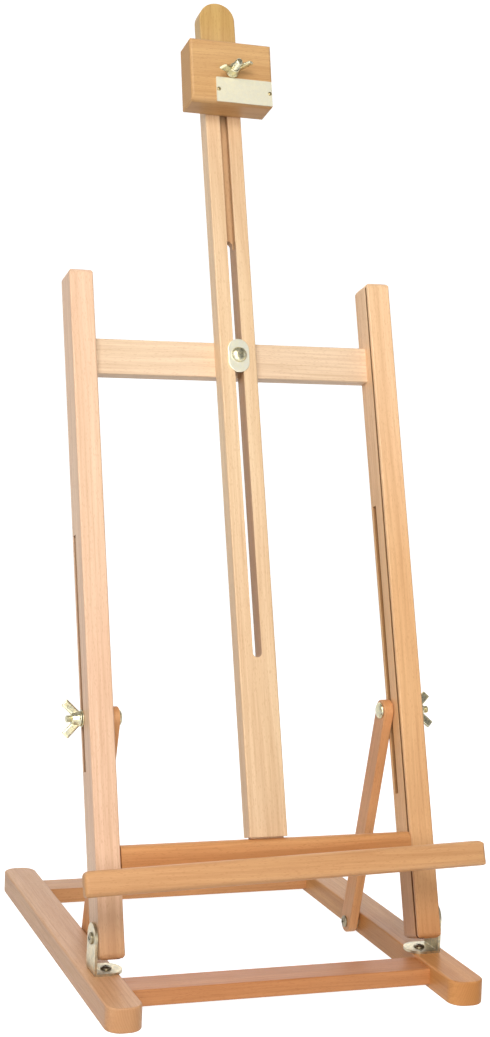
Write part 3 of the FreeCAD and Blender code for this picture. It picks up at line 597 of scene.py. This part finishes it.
# stay bolts: smooth domed head with the stay, threaded end with the lock
for side, sx in (("left", -1.0), ("right", 1.0)):
    j = joints[side + "_nut_spin"]
    axis = Vector((sx, 0, 0))
    lo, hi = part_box(side + "_stay_bolt_end")
    x0, x1 = (lo.x, hi.x) if sx > 0 else (-hi.x, -lo.x)
    bm = bmesh.new()
    threaded(bm, 0.0, (x1 - x0) / MM)
    o = finish_mesh(bm, side + "_stay_bolt_thread", zinc_hw, 60)
    o.data.transform(frame_at((sx * x0, j["pos_m"][1], j["pos_m"][2]), axis))
    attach(o, side + "_lock")
    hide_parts(side + "_stay_bolt_end")

    lo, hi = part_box(side + "_stay_bolt_head")
    x0, x1 = (lo.x, hi.x) if sx > 0 else (-hi.x, -lo.x)      # x0 is the head's crown
    slo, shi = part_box(side + "_stay")
    face = slo.x if sx > 0 else -shi.x
    bm = bmesh.new()
    prof = [(0, -(x1 - face) / MM), (2.75, -(x1 - face) / MM), (3.0, -(x1 - face) / MM + 0.3), (3.0, 0.0)] + dome_head(6.75, (face - x0) / MM)[1:]
    lathe(bm, prof, 64)
    o = finish_mesh(bm, side + "_stay_bolt_dome", zinc_hw, 50)
    o.data.transform(frame_at((sx * face, j["pos_m"][1], j["pos_m"][2]), -axis))
    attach(o, side + "_stay_arm")
    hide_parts(side + "_stay_bolt_head")

# mast lock bolt: dome in front, thread behind
j = joints["mast_nut_spin"]
org = Vector(j["pos_m"])
bk = Vector(j["axis"]).normalized()
pts = [(v.co - org).dot(bk) for v in nodes["mast_lock_bolt"].data.vertices]
b0, b1 = min(pts) / MM, max(pts) / MM
pp = [(v.co - org).dot(bk) for v in nodes["mast_lock_plate"].data.vertices]
face = min(pp) / MM
bm = bmesh.new()
dome = [(r, -z) for r, z in dome_head(6.5, face - b0)]
# local z runs backwards from the plate's front face
lathe(bm, [(r, z) for r, z in reversed(dome[1:])] + [(3.0, 0.0), (3.0, -face - 12.0), (2.5, -face - 11.6)], 64)
o = finish_mesh(bm, "mast_lock_bolt_dome", zinc_hw, 50)
o.data.transform(frame_at(org + bk * face * MM, bk))
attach(o, "leaning_frame")
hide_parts("mast_lock_bolt")
bm = bmesh.new()
threaded(bm, -12.2, b1)
o = finish_mesh(bm, "mast_lock_bolt_thread", zinc_hw, 60)
o.data.transform(frame_at(org, bk))
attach(o, "leaning_frame")

# clamp bolt: hammer head stays hidden in the mast, thread in front
j = joints["clamp_nut_spin"]
org = Vector(j["pos_m"])
fr = Vector(j["axis"]).normalized()
pts = [(v.co - org).dot(fr) for v in nodes["clamp_bolt"].data.vertices]
b0, b1 = min(pts) / MM, max(pts) / MM
bm = bmesh.new()
threaded(bm, b0 + 4.0, b1)
hx, hz = 6.5, 3.3
vs = []
ring = []
for zz in (b0, b0 + 0.4, b0 + 3.6, b0 + 4.0):
    q = 0.5 if zz in (b0, b0 + 4.0) else 0.0
    ring.append([bm.verts.new((sx * (hx - q) * MM, sy * (hz - q) * MM, zz * MM)) for sx, sy in ((-1, -1), (1, -1), (1, 1), (-1, 1))])
for A, B in zip(ring, ring[1:]):
    for i in range(4):
        bm.faces.new((A[i], A[(i + 1) % 4], B[(i + 1) % 4], B[i]))
bm.faces.new(ring[0])
bm.faces.new(ring[-1])
o = finish_mesh(bm, "clamp_bolt_thread", zinc_hw, 60)
o.data.transform(frame_at(org, fr, (1, 0, 0)))
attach(o, "top_clamp")
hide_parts("clamp_bolt")

# ---------------------------------------------------------------- floor, light
bm = bmesh.new()
W, D0, D1, R = 6.0, -5.0, 3.2, 1.6
path = [(D0, 0.0), (-2.0, 0.0), (0.0, 0.0), (D1 - R, 0.0)]
path += [(D1 - R + R * math.sin(math.radians(a)), R - R * math.cos(math.radians(a))) for a in range(6, 91, 6)]
path += [(D1, 4.5)]
cols = []
for y, z in path:
    cols.append([bm.verts.new((x, y, z)) for x in (-W, -2.0, 0.0, 2.0, W)])
for A, B in zip(cols, cols[1:]):
    for i in range(4):
        bm.faces.new((A[i], A[i + 1], B[i + 1], B[i]))
floor_mat, nt, bsdf = new_mat("pale_floor")
bsdf.inputs["Base Color"].default_value = (0.42, 0.42, 0.42, 1)
bsdf.inputs["Roughness"].default_value = 0.9
bsdf.inputs["Specular IOR Level"].default_value = 0.0
bsdf.inputs["Emission Color"].default_value = (1, 1, 1, 1)
bsdf.inputs["Emission Strength"].default_value = 0.94
floor = finish_mesh(bm, "floor", floor_mat)
# the seamless paper is seen and takes shade, and the object's fill comes from the world instead
floor.visible_diffuse = False
floor.visible_shadow = False

# the same paper all the way round, seen but neither lighting nor reflected
bm = bmesh.new()
N, RW = 96, 6.5
rings = [[bm.verts.new((r * math.cos(2 * math.pi * i / N), r * math.sin(2 * math.pi * i / N), z)) for i in range(N)]
         for r, z in ((2.0, -0.02), (RW, -0.02), (RW, 12.0))]
for A, B in zip(rings, rings[1:]):
    for i in range(N):
        bm.faces.new((A[i], A[(i + 1) % N], B[(i + 1) % N], B[i]))
wall = finish_mesh(bm, "surround", floor_mat)
wall.visible_diffuse = False
wall.visible_glossy = False
wall.visible_shadow = False

world = bpy.data.worlds.new("world")
bpy.context.scene.world = world
world.use_nodes = True
bg = world.node_tree.nodes["Background"]
bg.inputs["Color"].default_value = (1.0, 0.985, 0.965, 1)
bg.inputs["Strength"].default_value = 0.23


def area(name, loc, target, size, power, color=(1, 1, 1), spread=180.0):
    d = bpy.data.lights.new(name, "AREA")
    d.shape = "RECTANGLE"
    d.size, d.size_y = size
    d.energy = power
    d.color = color
    d.spread = math.radians(spread)
    o = bpy.data.objects.new(name, d)
    bpy.context.scene.collection.objects.link(o)
    o.location = loc
    o.rotation_mode = "QUATERNION"
    o.rotation_quaternion = (Vector(target) - Vector(loc)).to_track_quat("-Z", "Y")
    return o


area("high", (-0.55, -1.25, 1.35), (0.0, 0.0, 0.52), (0.8, 0.7), 18.5, (1.0, 0.985, 0.96))
area("front", (-0.45, -1.65, 0.70), (0.0, 0.0, 0.40), (0.9, 0.7), 6.0, (1.0, 0.985, 0.96))
area("low", (-0.40, -1.65, 0.25), (0.0, 0.0, 0.15), (1.1, 0.4), 4.8, (1.0, 0.985, 0.96))
area("left", (-1.7, -0.3, 1.0), (0.0, 0.0, 0.5), (0.8, 0.9), 9.0, (0.94, 0.975, 1.0))
area("right", (1.6, -0.7, 1.1), (0.0, 0.0, 0.5), (0.9, 1.0), 3.0, (1.0, 0.99, 0.975))
area("top", (0.2, 0.6, 2.0), (0.0, 0.0, 0.3), (1.4, 1.2), 4.0)
area("back", (0.5, 1.7, 0.9), (0.0, 0.0, 0.4), (1.2, 1.0), 4.0, (1.0, 0.99, 0.975))
# what the pale floor throws back up
area("bounce", (-0.15, -0.85, -0.75), (0.0, 0.0, 0.40), (1.8, 1.2), 6.0, (1.0, 0.97, 0.93))

vs_ = bpy.context.scene.view_settings
vs_.view_transform = "Standard"
vs_.look = "None"
vs_.exposure = 0.0
vs_.gamma = 1.0

bpy.context.view_layer.update()
